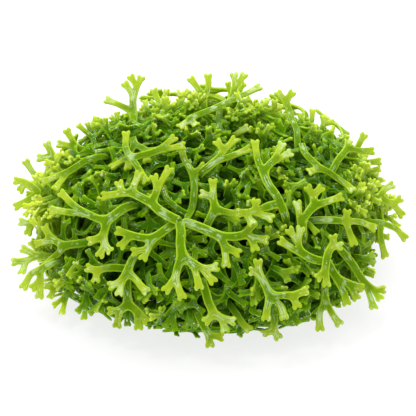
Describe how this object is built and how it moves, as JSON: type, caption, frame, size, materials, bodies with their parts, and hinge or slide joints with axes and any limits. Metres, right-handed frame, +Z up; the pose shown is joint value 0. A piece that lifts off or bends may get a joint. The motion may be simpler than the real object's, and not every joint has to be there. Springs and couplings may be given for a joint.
{
  "type": "crystalwort clump",
  "caption": "Cushion of crystalwort: forked, notched green ribbons packed in a low dome that rests on a small flat spot.",
  "frame": {"origin": "middle of the flat resting spot, on the surface that the clump lies on", "axes": "+Z up, +X to the right along the clump's longest side, -Y towards the viewer of the picture"},
  "size_m": [0.0494, 0.0469, 0.0209],
  "materials": {
    "large_thallus": "wet, yellow-green, paler along the margins and lobes",
    "packed_thalli": "wet, deep green, shaded between the lobes"
  },
  "bodies": {
    "root": {"tangle": "packed_thalli", "thallus_bright_cross": "large_thallus", "thallus_crown_drop": "large_thallus", "thallus_crown_low": "large_thallus", "thallus_crown_spur": "large_thallus", "thallus_crown_stem": "large_thallus", "thallus_crown_west": "large_thallus", "thallus_east_bar": "large_thallus", "thallus_east_foot": "large_thallus", "thallus_east_hub": "large_thallus", "thallus_east_long": "large_thallus", "thallus_east_low": "large_thallus", "thallus_east_spray": "large_thallus", "thallus_east_spur": "large_thallus", "thallus_floor_dark": "large_thallus", "thallus_floor_east": "large_thallus", "thallus_floor_middle": "large_thallus", "thallus_heart_east": "large_thallus", "thallus_heart_south": "large_thallus", "thallus_heart_southwest": "large_thallus", "thallus_heart_west": "large_thallus", "thallus_middle_fork": "large_thallus", "thallus_north_crest": "large_thallus", "thallus_north_mast": "large_thallus", "thallus_north_posts": "large_thallus", "thallus_north_ribbon": "large_thallus", "thallus_northeast_arc": "large_thallus", "thallus_northeast_fork": "large_thallus", "thallus_northeast_mast": "large_thallus", "thallus_northeast_spur": "large_thallus", "thallus_northwest_arm": "large_thallus", "thallus_northwest_fork": "large_thallus", "thallus_northwest_pair": "large_thallus", "thallus_northwest_spur": "large_thallus", "thallus_rear_crown_1": "large_thallus", "thallus_rear_crown_2": "large_thallus", "thallus_rear_high_1": "large_thallus", "thallus_rear_high_2": "large_thallus", "thallus_rear_high_3": "large_thallus", "thallus_rear_high_4": "large_thallus", "thallus_rear_low_1": "large_thallus", "thallus_rear_low_2": "large_thallus", "thallus_rear_low_3": "large_thallus", "thallus_rear_low_4": "large_thallus", "thallus_rear_low_5": "large_thallus", "thallus_south_hub": "large_thallus", "thallus_south_middle": "large_thallus", "thallus_south_pair": "large_thallus", "thallus_southeast_fan": "large_thallus", "thallus_southeast_reach": "large_thallus", "thallus_southwest_arm": "large_thallus", "thallus_southwest_hub": "large_thallus", "thallus_southwest_tall": "large_thallus", "thallus_tall_fork": "large_thallus", "thallus_west_edge": "large_thallus", "thallus_west_fan": "large_thallus", "thallus_west_fork": "large_thallus", "thallus_west_long": "large_thallus", "thallus_west_spray": "large_thallus", "thallus_west_tuft": "large_thallus"}
  },
  "joints": []
}
